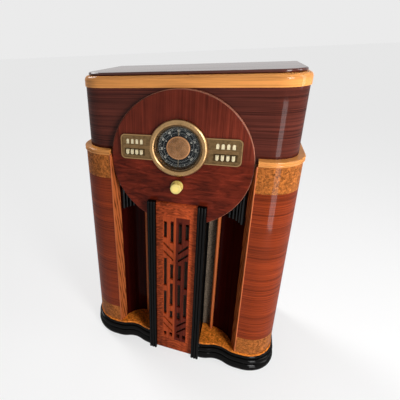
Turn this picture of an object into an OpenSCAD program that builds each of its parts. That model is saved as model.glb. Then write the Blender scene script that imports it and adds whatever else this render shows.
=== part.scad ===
// Floor-standing console radio of the late 1930s, in millimetres.
// X runs to the right, Y runs to the back and Z up; the origin is on the floor under the middle.
// Inside the modules, y = 0 is the front face of the round control panel.

/* [Cabinet] */
// Overall height
cabinet_h = 1060; // [1040:5:1100]
// Width over the two columns
body_w = 700; // [680:5:740]
// Depth from the control panel's face to the back
body_d = 372; // [356:2:400]
// Thickness of the curved and side boards
board_t = 14; // [10:1:18]
// Radius of the rounded front corners
corner_r = 100; // [90:1:110]
// How far the columns stand in front of the control panel
column_proud = 5; // [2:1:8]
// Width of a column's front, from its inner edge to the side
column_w = 123; // [118:1:128]

/* [Upper body] */
// Height of the upper body, from the column caps to the light band
upper_h = 195; // [185:1:205]
// Height of a column cap
cap_h = 16; // [12:1:20]
// How far the upper body's sides stand in from the columns
upper_inset = 14; // [10:1:18]
// Height of the light band under the top
band_h = 34; // [28:1:40]
// Thickness of the top board
top_t = 10; // [8:1:14]
// Set-back of the top board's edge from the band's face
top_setback = 11; // [9:1:14]

/* [Bands] */
// Height of the burl band under a column cap
top_band_h = 83; // [60:1:100]
// Height of the burl band at the foot of a column
foot_band_h = 73; // [50:1:90]

/* [Plinth] */
// Height of the moulded plinth
plinth_h = 69; // [62:1:80]
// Thickness of the base board on it
base_t = 8; // [6:1:12]
// Radius of the plinth's lowest bead
plinth_bead_r = 16; // [13:0.5:17]
// Depth of the wave in the plinth's front
wave_depth = 14; // [8:1:18]

/* [Centre column] */
// Width of the fretted panel
fret_w = 136; // [130:1:142]
// Thickness of the fretted panel, which lies against the control panel's face
fret_t = 9; // [7:0.5:12]
// How far the fretted panel covers the control panel
fret_overlap = 80; // [60:1:95]
// Width of a black reeded stile
stile_w = 28; // [25:0.5:30]
// How far the stiles stand in front of the control panel
stile_front = 24; // [18:1:26]
// How far the stiles pass the fretted panel's upper edge
stile_over = 6; // [2:1:12]
// Width of a fret slot
slot_w = 12; // [9:0.5:14]

/* [Control panel] */
// Gap between the round control panel and the columns' inner beads
disc_gap = 3.5; // [2:0.5:6]
// Thickness of the round control panel
disc_t = 18; // [15:1:22]
// Height of the dial's centre above the control panel's
dial_rise = 46; // [40:1:50]
// Outer radius of the dial bezel
bezel_r = 89; // [84:0.5:92]
// Radius of the bead on the bezel
bezel_bead_r = 9; // [8:0.5:10]
// Radius of the domed boss in the dial
hub_r = 36; // [32:0.5:40]
// Distance from the control panel's rim to the end of a push-button plate
plate_margin = 36.5; // [33:0.5:42]
// Height of a push-button plate
plate_h = 80; // [76:1:86]
// Thickness of a push-button plate
plate_t = 4; // [3:0.5:6]
// Height of a push-button
button_h = 16; // [14:0.5:18]
// Distance between the row of tabs and the row of push-buttons
row_gap = 33; // [30:0.5:36]
// Travel of a push-button
button_travel = 5; // [3:0.5:6]
// Height of the tuning knob's axis below the control panel's centre
knob_drop = 77; // [73:1:79]
// Radius of the tuning knob
knob_r = 19; // [15:0.5:20]
// Length of the tuning knob
knob_len = 26; // [20:1:32]

/* [Alcoves] */
// Thickness of the curved alcove wall
niche_t = 5; // [3:0.5:6]
// Distance from a stile to the middle of the alcove's post
post_gap = 33.7; // [30:0.5:38]
// Height of the fluted valance, below the top of the columns
valance_h = 229; // [200:1:250]
// Thickness of the fluted valance
valance_t = 10; // [8:0.5:12]
// Number of reeds across a valance
valance_reeds = 5; // [4:1:7]
// Width of the thin bead on the inner edge of a column
edge_bead_w = 4; // [3:0.5:5]

/* [Works] */
// Thickness of the speaker board
baffle_t = 18; // [12:1:20]
// Radius of the speaker cone's mouth
cone_r = 104; // [90:1:115]
// Height of the speaker's axis
speaker_z = 330; // [300:1:360]
// Width of the chassis
chassis_w = 400; // [380:5:440]
// Depth of the chassis
chassis_d = 212; // [200:2:225]
// Height of the chassis
chassis_h = 70; // [60:1:80]
// Radius of the tuning shafts
shaft_r = 4; // [3:0.25:5]
// Radius of the roller on the tuning shaft
roller_r = 12.6; // [10:0.2:14]

/* [Hidden] */
$fn = 96;
touch = 0.3;          // air between pieces that do not bear on each other
run_fit = 0.05;       // radial clearance of a turning shaft
slide_fit = 0.3;      // clearance round a sliding push-button
half_w = body_w / 2;
column_inner_x = half_w - column_w;
arc_x = half_w - corner_r;
arc_y = corner_r - column_proud;
base_z = plinth_h + base_t;
upper_y = disc_t;
upper_r = corner_r - upper_inset;
upper_cy = upper_y + upper_r;
upper_t = 12;
band_z = cabinet_h - top_t - band_h;
column_h = band_z - upper_h;
cap_z = column_h - cap_h;
inlay_x = column_inner_x - edge_bead_w;
disc_r = inlay_x - disc_gap;
disc_z = band_z - disc_r - touch - 0.2;
dial_z = disc_z + dial_rise;
knob_z = disc_z - knob_drop;
fret_top_z = disc_z - disc_r + fret_overlap;
plate_x = disc_r - plate_margin;
bank_w = plate_x - bezel_r + 6; // room for a bank of push-buttons beside the bezel's curve
button_pitch = 0.15 * bank_w;
button_w = 0.6 * button_pitch;
valance_z = column_h - valance_h;
shelf_z = knob_z - 21;
stile_x = fret_w / 2 + touch;
stile_out = stile_x + stile_w;
reed_r = stile_w / 6;
knob_gap = 4;
front_y = -knob_gap - knob_len;
mid_y = (front_y + body_d) / 2;
wave_x0 = stile_out + 1;
wave_x1 = column_inner_x + 3;
wave_xm = (wave_x0 + wave_x1) / 2;
wave_l = (wave_x1 - wave_x0) / 4;
wave_r = (wave_l * wave_l + wave_depth * wave_depth / 4) / wave_depth;
wave_a = 2 * atan(wave_depth / 2 / wave_l);
inlay_t = 5;
post_w = 12;
post_d = 21;
niche_cx = stile_out + post_gap;
niche_r = inlay_x - niche_cx - 7;
baffle_y = niche_r + niche_t + 1;
column_back = baffle_y - 4;
niche_a0 = 20;
niche_a1 = acos((post_w / 2 + touch) / niche_r);
wall_x = niche_cx + niche_r * cos(niche_a0);
wall_y = niche_r * sin(niche_a0);
post_x = niche_cx - post_w / 2;
dial_seat_r = bezel_r - 15.5;
dial_face_y = 5;
glass_r = bezel_r - 2 * bezel_bead_r - 0.3;
drive_y = 44;
drive_r = dial_z - knob_z - roller_r - 0.4;
chassis_y = 118;
chassis_top = shelf_z + chassis_h;
sheet_t = 2;
row_z = dial_z - 2.5;
button_x0 = (bezel_r + plate_x) / 2 + 1.5 - 1.5 * button_pitch;

// Colours of the finishes
walnut_dark = "#4a1d17";
walnut_red = "#8a3418";
disc_walnut = "#5c221a";
light_wood = "#c47a3a";
burl = "#d08a3c";
ebony = "#15110f";
bronze = "#9c7a48";
ivory = "#e4d28c";
steel = "#8d9094";

// Shared shapes

// Mirrors the children to the left where side is -1
module on_side(side) {
  if (side < 0) mirror([1, 0, 0]) children();
  else children();
}

// Both sides of the cabinet
module both_sides() {
  children();
  mirror([1, 0, 0]) children();
}

// A solid along Y from y0 to y1, over a shape drawn in X and Z
module along_y(y0, y1) {
  translate([0, y1, 0]) rotate([90, 0, 0]) linear_extrude(y1 - y0) children();
}

// A solid of revolution about the Y axis through [0, z], drawn as radius and depth
module about_y(z) {
  translate([0, 0, z]) rotate([-90, 0, 0]) rotate_extrude() children();
}

// A moulding drawn as outward offset and height, run over the right half of a U-shaped plan
module half_run(x0, cx, cy, r, y_end) {
  translate([x0, cy - r, 0]) rotate([90, 0, 90]) linear_extrude(cx - x0) mirror([1, 0]) children();
  translate([cx, cy, 0]) rotate([0, 0, -90]) rotate_extrude(angle = 90) translate([r, 0]) children();
  translate([cx + r, y_end, 0]) rotate([90, 0, 0]) linear_extrude(y_end - cy) children();
}

// The plan of the right half of a U: outer line minus a wall of thickness t
module half_wall(x0, cx, cy, r, t, y_end) {
  if (cx > x0) translate([x0, cy - r]) square([cx - x0, t]);
  translate([cx, cy]) intersection() {
    difference() {
      circle(r);
      circle(r - t);
    }
    translate([0, -r - 1]) square(r + 1);
  }
  if (y_end > cy) translate([cx + r - t, cy]) square([t, y_end - cy]);
}

// A rectangle with rounded corners, from x0 to x1 and z0 to z1
module rounded_rect(x0, z0, x1, z1, r) {
  translate([x0 + r, z0]) square([x1 - x0 - 2 * r, z1 - z0]);
  translate([x0, z0 + r]) square([x1 - x0, z1 - z0 - 2 * r]);
  for (x = [x0 + r, x1 - r], z = [z0 + r, z1 - r]) translate([x, z]) circle(r);
}

// A slot with one round end, up or down, centred on x
module arch(x, z, w, h, up = true) {
  translate([x, z]) rotate(up ? 0 : 180) {
    translate([-w / 2, -h / 2]) square([w, h - w / 2]);
    translate([0, h / 2 - w / 2]) circle(w / 2);
  }
}

// The room that the round control panel takes
module disc_room() {
  translate([0, 0, disc_z]) rotate([-90, 0, 0])
    translate([0, 0, -touch]) cylinder(r = disc_r + touch, h = disc_t + 2 * touch);
}

// Top and upper body

module top_board() {
  inset = top_setback;
  edge_r = top_t / 2;
  color(walnut_dark) both_sides() {
    translate([0, 0, cabinet_h - top_t]) linear_extrude(top_t)
      half_plan(upper_r - inset - edge_r, upper_y + inset + edge_r);
    half_run(0, arc_x, upper_cy, upper_r, body_d) translate([-inset - edge_r, cabinet_h - top_t])
      intersection() {
        square([edge_r, top_t]);
        translate([0, edge_r]) circle(edge_r);
      }
  }
}

// The right half of the upper body's plan, with its corner radius and front line
module half_plan(r, y_front) {
  translate([0, y_front]) square([arc_x, body_d - y_front]);
  translate([arc_x, upper_cy]) intersection() {
    circle(r);
    translate([0, -r]) square(r);
  }
  translate([arc_x - 1, upper_cy]) square([r + 1, body_d - upper_cy]);
}

module top_edge_band() {
  face = 3;
  round_r = 14;
  color(light_wood) both_sides() half_run(0, arc_x, upper_cy, upper_r, body_d) {
    translate([-upper_t - 8, band_z]) square([upper_t + 8 + face, band_h - round_r]);
    translate([-upper_t - 8, band_z]) square([upper_t + 8 + face - round_r, band_h]);
    translate([face - round_r, band_z + band_h - round_r]) circle(round_r);
  }
}

module upper_front_panel() {
  back_half = disc_r - plate_margin - 5;
  color(walnut_dark) difference() {
    union() {
      translate([-arc_x, upper_y, column_h]) cube([2 * arc_x, upper_t, band_z - column_h]);
      translate([-back_half, upper_y, shelf_z - 8]) cube([2 * back_half, upper_t, column_h - shelf_z + 9]);
      translate([touch - column_inner_x, upper_y, cap_z - 1])
        cube([2 * (column_inner_x - touch), upper_t, cap_h + 2]);
    }
    translate([0, upper_y - 1, dial_z]) rotate([-90, 0, 0]) cylinder(r = dial_seat_r, h = upper_t + 2);
    translate([0, upper_y - 1, knob_z]) rotate([-90, 0, 0]) cylinder(r = shaft_r + 3, h = upper_t + 2);
    both_sides() along_y(upper_y - 1, upper_y + upper_t + 1) button_window();
  }
}

// The cut behind one bank of push-buttons
module button_window() {
  translate([button_x0 - button_w, row_z - row_gap / 2 - button_h * 0.75])
    square([3 * button_pitch + 2 * button_w, button_h * 1.5]);
}

module upper_side(side) {
  color(walnut_dark) on_side(side) translate([0, 0, column_h]) linear_extrude(band_z - column_h)
    half_wall(arc_x, arc_x, upper_cy, upper_r, upper_t, body_d);
}

// Columns

module column_length(z0, z1) {
  translate([0, 0, z0]) linear_extrude(z1 - z0)
    half_wall(column_inner_x, arc_x, arc_y, corner_r, board_t, arc_y);
}

module column_shaft(side) {
  color(walnut_red) on_side(side) column_length(base_z + foot_band_h, cap_z - top_band_h);
}

module column_top_bands() {
  color(burl) both_sides() column_length(cap_z - top_band_h, cap_z);
}

module column_foot_bands() {
  color(burl) both_sides() column_length(base_z, base_z + foot_band_h);
}

module side_panel(side) {
  color(walnut_red) on_side(side) translate([half_w - board_t, arc_y, base_z])
    cube([board_t, body_d - arc_y, cap_z - base_z]);
}

module column_caps() {
  bead_r = cap_h / 4;
  depth = board_t + upper_inset + 4;
  color(light_wood) both_sides() half_run(column_inner_x, arc_x, arc_y, corner_r, body_d) {
    translate([-depth, cap_z]) square([depth, cap_h]);
    translate([0, cap_z]) square([2, cap_h - bead_r]);
    for (z = [bead_r, cap_h - bead_r]) translate([0, cap_z + z]) circle(bead_r);
  }
}

// Thin rounded bead on the inner edge of each column
module column_beads() {
  r = edge_bead_w / 2;
  color(light_wood) both_sides() difference() {
    translate([inlay_x + r, 0, base_z]) linear_extrude(cap_z - base_z) {
      translate([0, -column_proud]) circle(r);
      translate([-r, -column_proud]) square([edge_bead_w - touch, column_proud + board_t]);
    }
    disc_room();
  }
}

// Striped inlay on the inner return of each column, from the bead to the curved wall
module inlay_strips() {
  color(light_wood) both_sides() difference() {
    translate([0, 0, base_z]) linear_extrude(cap_z - 8 - base_z)
      polygon([[inlay_x - touch, -column_proud + 3], [inlay_x - touch, board_t + 1],
        [wall_x + inlay_t, wall_y + 2], [wall_x, wall_y]]);
    disc_room();
  }
}

// Alcoves

// The plan of a part of the curved wall, between two radii
module niche_ring(r0, r1, a0, a1) {
  translate([niche_cx, 0]) intersection() {
    difference() {
      circle(r1);
      circle(r0);
    }
    polygon([[0, 0], 2 * r1 * [cos(a0), sin(a0)], 2 * r1 * [cos(a1), sin(a1)]]);
  }
}

module niche_wall(side) {
  color(walnut_dark) on_side(side) translate([0, 0, base_z]) linear_extrude(shelf_z - 20 - base_z)
    niche_ring(niche_r, niche_r + niche_t, niche_a0 + 0.2, niche_a1);
}

// Black valance with a row of reeds, which hides the top of an alcove
module valance(side) {
  a0 = niche_a0 + 3;
  a1 = niche_a1 - 14;
  r_back = niche_r - touch;
  r_mid = r_back - valance_t / 2;
  step = (a1 - a0) / valance_reeds;
  reed = r_mid * step * PI / 360;
  color(ebony) on_side(side) translate([0, 0, valance_z]) linear_extrude(cap_z - 2 - valance_z) {
    niche_ring(r_mid, r_back, a0, a1);
    for (i = [0 : valance_reeds - 1]) translate([niche_cx, 0]) rotate(a0 + (i + 0.5) * step)
      translate([r_mid, 0]) intersection() {
        circle(reed);
        translate([-reed, -reed]) square([reed + 1, 2 * reed]);
      }
  }
}

module niche_posts() {
  color(light_wood) both_sides() translate([post_x, 0, base_z]) linear_extrude(valance_z - 6 - base_z) {
    translate([0, baffle_y - post_d + post_w / 2]) square([post_w, post_d - post_w / 2]);
    translate([post_w / 2, baffle_y - post_d + post_w / 2]) circle(post_w / 2);
  }
}

// Base

// Points of an arc with their outward normals; bulge is 1 for a convex and -1 for a hollow front
function arc_path(c, r, a0, a1, n, bulge) = [for (i = [0 : n])
  let(a = a0 + (a1 - a0) * i / n) [c + r * [cos(a), sin(a)], bulge * [cos(a), sin(a)]]];

// The front line of the base on the right, from the stile to the back of the side
base_path = concat(
  arc_path([wave_x0, wave_r - column_proud], wave_r, -90, -90 + wave_a, 4, 1),
  arc_path([wave_xm, wave_depth - wave_r - column_proud], wave_r, 90 + wave_a * 0.75, 90 - wave_a, 7, -1),
  arc_path([wave_x1, wave_r - column_proud], wave_r, -90 - wave_a * 0.75, -90, 3, 1),
  arc_path([arc_x, arc_y], corner_r, -90, 0, 12, 1),
  [[[half_w, body_d], [1, 0]]]);

// The front line moved outward by d
function base_line(d) = [for (p = base_path) p[0] + d * p[1]];

// The plinth's section as outward offset and height: three beads of falling radius
module plinth_section() {
  mid_r = 9;
  top_r = 6.5;
  core = board_t + 8;
  translate([-core, 0]) square([core - 2, plinth_h]);
  translate([-2, plinth_bead_r]) circle(plinth_bead_r);
  translate([-3, plinth_bead_r]) square([4, plinth_h - plinth_bead_r - top_r]);
  translate([2, plinth_h - 2 * top_r - 3 - mid_r]) circle(mid_r);
  translate([-1, plinth_h - top_r]) circle(top_r);
}

// A moulding run through an arc of the wave in the front, from angle a0 over a span
module wave_arc(c, a0, span, hollow = false) {
  translate([c.x, c.y, 0]) rotate([0, 0, a0]) rotate_extrude(angle = span) translate([wave_r, 0])
    mirror([hollow ? 1 : 0, 0]) children();
}

module plinth(side) {
  color(ebony) on_side(side) {
    wave_arc([wave_x0, wave_r - column_proud], -90, wave_a) plinth_section();
    wave_arc([wave_xm, wave_depth - wave_r - column_proud], 90 - wave_a, 2 * wave_a, true) plinth_section();
    wave_arc([wave_x1, wave_r - column_proud], -90 - wave_a, wave_a) plinth_section();
    half_run(wave_x1, arc_x, arc_y, corner_r, body_d) plinth_section();
  }
}

module base_board() {
  line = base_line(2);
  right = concat([[line[0].x, 0]], line, [[half_w - board_t, body_d]]);
  left = [for (i = [len(right) - 1 : -1 : 0]) [-right[i].x, right[i].y]];
  color(burl) translate([0, 0, plinth_h]) linear_extrude(base_t) polygon(concat(right, left));
}

module rear_rails() {
  span = half_w - board_t - touch;
  upper_span = half_w - upper_inset - upper_t - touch;
  rail_t = 18;
  rail_y = body_d - rail_t - 2;
  foot_rail_h = 60;
  head_rail_h = 40;
  color(walnut_dark) {
    translate([-span, rail_y, base_z]) cube([2 * span, rail_t, foot_rail_h]);
    translate([-upper_span, rail_y, band_z - head_rail_h]) cube([2 * upper_span, rail_t, head_rail_h]);
  }
}

// Centre column

// The slots of the right half of the fret, as outlines in X and Z
module fret_half() {
  outer_x = fret_w * 0.272;
  inner_x = fret_w * 0.103;
  half = slot_w / 2;
  drop = 34;
  cut = 11;
  for (z = [[0.798, 0.895], [0.481, 0.670], [0.272, 0.446], [0.104, 0.134]])
    slot(outer_x, z * fret_top_z);
  for (z = [[0.769, 0.901], [0.533, 0.635], [0.342, 0.505], [0.245, 0.304], [0.104, 0.134]])
    slot(inner_x, z * fret_top_z);
  for (z = [0.772, 0.721, 0.256, 0.207] * fret_top_z)
    polygon([[outer_x + half, z], [inner_x - half, z - drop], [inner_x - half, z - drop - cut],
      [outer_x + half, z - cut]]);
}

// An upright slot of the fret between two heights
module slot(x, z) {
  translate([x - slot_w / 2, z[0]]) square([slot_w, z[1] - z[0]]);
}

module fret_panel() {
  round_r = fret_t * 0.9;
  half = fret_w / 2;
  color(walnut_red) difference() {
    translate([-half, -fret_t, 0]) cube([fret_w, fret_t, fret_top_z]);
    along_y(-fret_t - 1, 1) {
      fret_half();
      mirror([1, 0]) fret_half();
    }
    // waterfall edge along the top
    translate([-half - 1, -fret_t, fret_top_z]) rotate([90, 0, 90]) linear_extrude(fret_w + 2)
      difference() {
        translate([-1, -round_r]) square([round_r + 1, round_r + 1]);
        translate([round_r, -round_r]) circle(round_r);
      }
  }
}

// A black stile: three reeds with domed tops in front, and a deep fin behind, under the control panel
module stile(side) {
  z1 = fret_top_z + stile_over;
  y_reed = reed_r - stile_front;
  color(ebony) on_side(side) {
    translate([stile_x, y_reed, 0]) cube([stile_w, -y_reed, z1 - reed_r]);
    translate([stile_x, -touch, base_z]) cube([stile_w, column_back + touch, disc_z - disc_r - 3 - base_z]);
    for (i = [0 : 2]) translate([stile_x + (2 * i + 1) * reed_r, y_reed, 0]) {
      cylinder(r = reed_r, h = z1 - reed_r);
      translate([0, 0, z1 - reed_r]) sphere(reed_r);
    }
  }
}

module grille_cloth() {
  thick = 1.5;
  color("#4a4238") {
    translate([-fret_w / 2, 0, base_z]) cube([fret_w, thick, disc_z - disc_r - 3 - base_z]);
    both_sides() translate([stile_out - 12, baffle_y - thick, base_z])
      cube([post_x - stile_out + 12 - touch, thick, shelf_z - 22 - base_z]);
  }
}

module speaker_baffle() {
  span = inlay_x;
  color("#2a201b") difference() {
    translate([-span, baffle_y, base_z]) cube([2 * span, baffle_t, shelf_z - 18 - base_z]);
    translate([0, baffle_y - 1, speaker_z]) rotate([-90, 0, 0]) cylinder(r = cone_r + 4, h = baffle_t + 2);
  }
}

module chassis_shelf() {
  span = half_w - board_t - touch;
  color("#6b4a30") translate([-span, baffle_y, shelf_z - 18]) cube([2 * span, body_d - baffle_y - 20, 18]);
}

// Control panel

module control_disc() {
  edge_r = 4;
  ledge = 8;
  color(disc_walnut) difference() {
    about_y(disc_z) {
      square([disc_r - edge_r, disc_t]);
      translate([0, edge_r]) square([disc_r, disc_t - edge_r]);
      translate([disc_r - edge_r, edge_r]) circle(edge_r);
    }
    translate([0, -1, dial_z]) rotate([-90, 0, 0]) cylinder(r = dial_seat_r + touch, h = ledge + 1);
    translate([0, -1, dial_z]) rotate([-90, 0, 0]) cylinder(r = dial_seat_r - 8, h = disc_t + 2);
    translate([0, -1, knob_z]) rotate([-90, 0, 0]) cylinder(r = shaft_r + 3, h = disc_t + 2);
    both_sides() along_y(-1, disc_t + 1) button_window();
  }
}

module dial_bezel() {
  bead_r = bezel_bead_r;
  mid = bezel_r - bead_r;
  inner = mid - bead_r;
  color(bronze) about_y(dial_z) difference() {
    union() {
      translate([mid, -bead_r + 3]) circle(bead_r);
      translate([inner, -bead_r + 3]) square([2 * bead_r, bead_r - 3]);
      polygon([[inner - 3, -6], [inner, -6], [inner, 0], [dial_seat_r - 0.5, 0],
        [dial_seat_r - 0.5, dial_face_y], [inner - 8, dial_face_y], [inner - 8, dial_face_y - 1]]);
    }
    translate([dial_seat_r, 0]) square([bezel_r, 2 * bead_r]);
  }
}

module dial_glass() {
  rise = 5;
  thick = 2.5;
  dome_r = (glass_r * glass_r + rise * rise) / (2 * rise);
  color("#dfe8ea", 0.35) about_y(dial_z) translate([0, -6]) intersection() {
    difference() {
      translate([0, dome_r - rise - thick]) circle(dome_r, $fn = 256);
      translate([0, dome_r - rise]) circle(dome_r, $fn = 256);
    }
    translate([0, -rise - thick - 1]) square([glass_r, rise + thick + 1]);
  }
}

module dial_face() {
  bore = shaft_r + 2;
  color("#16181c") about_y(dial_z) translate([bore, dial_face_y]) square([dial_seat_r - bore, 3]);
}

// One push-button plate with its raised rim, ribs, tab pockets and button slots
module button_plate(side) {
  z0 = row_z - plate_h / 2;
  z1 = row_z + plate_h / 2;
  round_r = 14;
  rim = 3;
  color(bronze) on_side(side) difference() {
    union() {
      along_y(-plate_t, 0) rounded_rect(0, z0, plate_x, z1, round_r);
      along_y(-plate_t - 2, -plate_t) difference() {
        rounded_rect(0, z0, plate_x, z1, round_r);
        rounded_rect(-rim, z0 + rim, plate_x - rim, z1 - rim, round_r - rim);
      }
      for (z = [-3.5, 0, 3.5])
        translate([bezel_r - 4, -plate_t, row_z + z]) rotate([0, 90, 0])
          cylinder(r = 1.4, h = plate_x - bezel_r - 6);
    }
    translate([0, 1, dial_z]) rotate([90, 0, 0]) cylinder(r = bezel_r + touch, h = plate_t + 8);
    for (i = [0 : 3]) {
      x = button_x0 + i * button_pitch;
      along_y(-plate_t - 1, 1)
        arch(x, row_z - row_gap / 2, button_w + 2 * slide_fit, button_h + 2 * slide_fit, false);
      along_y(-plate_t - 1, -1.5) arch(x, row_z + row_gap / 2, button_w, button_h);
    }
  }
}

module station_tabs() {
  color("#efe6cf") both_sides() for (i = [0 : 3])
    along_y(-plate_t + 0.5, -1.5)
      arch(button_x0 + i * button_pitch, row_z + row_gap / 2, button_w - 0.4, button_h - 0.4);
}

// A push-button: a key with a rounded lower end, a crowned face and a collar behind the plate
module push_button(side, i) {
  x = button_x0 + i * button_pitch;
  z = row_z - row_gap / 2;
  proud = plate_t + button_travel + 2;
  color(ivory) on_side(side) {
    along_y(-proud + 2, 4) arch(x, z, button_w, button_h, false);
    along_y(-proud, -proud + 2) arch(x, z, button_w - 2, button_h - 2, false);
    along_y(touch, 4)
      translate([x - button_w / 2 - 2, z - button_h / 2]) square([button_w + 4, button_h - 4]);
  }
}

// Tuning drive

module pointer() {
  reach = bezel_r - 2 * bezel_bead_r - 9;
  y0 = dial_face_y - 1.8;
  color("#e9dcc0") difference() {
    union() {
      along_y(y0, y0 + 1) translate([0, dial_z])
        polygon([[-1.6, 0], [-0.5, reach], [0.5, reach], [1.6, 0], [0.5, -reach], [-0.5, -reach]]);
      along_y(y0, y0 + 1) translate([0, dial_z]) circle(11);
    }
    translate([0, y0 - 1, dial_z]) rotate([-90, 0, 0]) cylinder(r = shaft_r + run_fit, h = 3);
  }
}

module dial_hub() {
  back = dial_face_y - 1.8;
  dome = 6;
  color("#a8713f") about_y(dial_z) difference() {
    union() {
      translate([0, back - 3]) square([hub_r, 3]);
      intersection() {
        translate([0, back - 3 - dome + (hub_r * hub_r + dome * dome) / (2 * dome)])
          circle((hub_r * hub_r + dome * dome) / (2 * dome), $fn = 256);
        translate([0, back - 4 - dome]) square([hub_r, dome + 1.5]);
      }
    }
    translate([0, back - 4]) square([shaft_r + run_fit, 8]);
  }
}

module drive_disc() {
  color(steel) about_y(dial_z) {
    translate([shaft_r + run_fit, drive_y]) square([drive_r - shaft_r - run_fit, 3]);
    translate([shaft_r + run_fit, drive_y + 3]) square([8, 9]);
  }
}

plate_step = 10;
rotor_plates = 7;
rotor_y = chassis_y + 14;
gang_r = 34;
gang_end = rotor_y + rotor_plates * plate_step + 6;

module condenser_rotor() {
  color("#b9bcc0") {
    about_y(dial_z) translate([0, dial_face_y - 5.6]) square([shaft_r, gang_end + 12 - dial_face_y]);
    for (i = [0 : rotor_plates - 1])
      along_y(rotor_y + i * plate_step, rotor_y + i * plate_step + 1) translate([0, dial_z]) {
        intersection() {
          circle(gang_r);
          translate([-gang_r, 0]) square([2 * gang_r, gang_r]);
        }
        circle(shaft_r + 3);
      }
  }
}

module condenser_frame() {
  half = gang_r + 10;
  y0 = rotor_y - 9;
  top = dial_z + gang_r + 6;
  color("#8f8a80") {
    difference() {
      union() {
        for (y = [y0, gang_end]) translate([-half, y, chassis_top]) cube([2 * half, 3, top - chassis_top]);
        translate([-half, y0, chassis_top]) cube([2 * half, gang_end + 3 - y0, 3]);
      }
      translate([0, y0 - 1, dial_z]) rotate([-90, 0, 0])
        cylinder(r = shaft_r + run_fit, h = gang_end + 5 - y0);
    }
    for (z = [dial_z - 24, dial_z + 20])
      translate([half - 6, y0 + 3, z]) cube([4, gang_end - y0 - 3, 4]);
    for (i = [0 : rotor_plates - 2])
      along_y(rotor_y + (i + 0.5) * plate_step, rotor_y + (i + 0.5) * plate_step + 1) difference() {
        translate([0, dial_z - gang_r]) square([half - 4, 2 * gang_r]);
        translate([0, dial_z]) circle(shaft_r + 6);
      }
  }
}

module tuning_knob() {
  y0 = front_y;
  crown = 3;
  skirt = 2;
  flutes = 24;
  color(ivory) difference() {
    about_y(knob_z) {
      translate([0, y0 + crown]) square([knob_r - skirt, knob_len - crown]);
      translate([0, y0]) square([knob_r - skirt - crown, crown]);
      translate([knob_r - skirt - crown, y0 + crown]) circle(crown);
      translate([0, -9]) square([knob_r, 5]);
    }
    for (i = [0 : flutes - 1]) translate([0, 0, knob_z]) rotate([0, i * 360 / flutes, 0])
      translate([knob_r - skirt + 0.5, -10, 0]) rotate([90, 0, 0])
        cylinder(r = 1.3, h = knob_len - crown - 8);
    translate([0, y0 + 8, knob_z]) rotate([-90, 0, 0]) cylinder(r = shaft_r + run_fit, h = knob_len);
  }
}

module tuning_shaft() {
  color(steel) about_y(knob_z) {
    translate([0, -knob_len + 5]) square([shaft_r, chassis_y + knob_len + 15]);
    translate([0, drive_y - 3]) square([roller_r, 9]);
  }
}

// Works

module chassis() {
  x0 = -chassis_w / 2;
  color("#8c8f8f") difference() {
    translate([x0, chassis_y, shelf_z]) cube([chassis_w, chassis_d, chassis_h]);
    translate([x0 + sheet_t, chassis_y + sheet_t, shelf_z - 1])
      cube([chassis_w - 2 * sheet_t, chassis_d - 2 * sheet_t, chassis_h - sheet_t + 1]);
    translate([0, chassis_y - 1, knob_z]) rotate([-90, 0, 0])
      cylinder(r = shaft_r + run_fit, h = sheet_t + 2);
  }
}

// Each valve: place as shares of the chassis width and depth, base radius, glass radius, height
valves = [[-0.20, 0.19, 16, 19, 74], [-0.20, 0.45, 16, 19, 74], [-0.30, 0.71, 17, 23, 92],
  [-0.175, 0.78, 17, 23, 92], [0.20, 0.19, 16, 19, 74], [0.20, 0.45, 16, 19, 74], [0.30, 0.28, 16, 19, 74],
  [0.30, 0.54, 16, 19, 74], [0.175, 0.78, 17, 23, 92], [0.31, 0.80, 17, 23, 92]];
valve_base_h = 28;

module tube_bases() {
  color("#1b1a1a") for (v = valves) translate([v[0] * chassis_w, chassis_y + v[1] * chassis_d, chassis_top]) {
    cylinder(r = v[2] + 4, h = 3);
    cylinder(r = v[2], h = valve_base_h);
  }
}

// Glass bulbs with a shouldered dome
module tubes() {
  color("#c9d2d2", 0.5) for (v = valves)
    translate([v[0] * chassis_w, chassis_y + v[1] * chassis_d, chassis_top + valve_base_h]) rotate_extrude() {
      neck = v[2] - 1;
      square([neck, v[4] - v[3] * 0.5]);
      translate([0, v[4] * 0.35]) intersection() {
        circle(v[3]);
        translate([0, -v[4] * 0.35]) square([v[3], v[4]]);
      }
      translate([0, v[4] - neck * 0.8]) intersection() {
        circle(neck * 0.8);
        square(neck);
      }
    }
}

module power_transformer() {
  w = 76;
  d = 76;
  h = 84;
  color("#26272a") translate([-chassis_w / 2 + 8, chassis_y + 40, chassis_top]) {
    translate([6, 6, 0]) cube([w - 12, d - 12, h]);
    translate([0, 0, h * 0.36]) cube([w, d, h * 0.28]);
    for (x = [6, w - 6], y = [6, d - 6]) translate([x, y, h * 0.64]) cylinder(r = 4, h = 6, $fn = 6);
  }
}

module shield_cans() {
  side = 34;
  can_h = 78;
  tall_can_h = 96;
  color("#b4b8ba") {
    for (p = [[-0.055, 0.84], [0.055, 0.84], [0.4125, 0.14], [0.4125, 0.35]])
      translate([p.x * chassis_w - side / 2, chassis_y + p.y * chassis_d - side / 2, chassis_top]) {
        cube([side, side, can_h]);
        translate([side / 2, side / 2, can_h]) cylinder(r = side * 0.38, h = 4);
      }
    for (p = [[0.43, 0.60], [0.43, 0.84]])
      translate([p.x * chassis_w, chassis_y + p.y * chassis_d, chassis_top]) cylinder(r = side / 2, h = tall_can_h);
  }
}

// Speaker

flange_r = cone_r + 22;
basket_y = baffle_y + baffle_t;
basket_d = 72;
pot_r = 52;
basket_t = 2.5;

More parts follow.
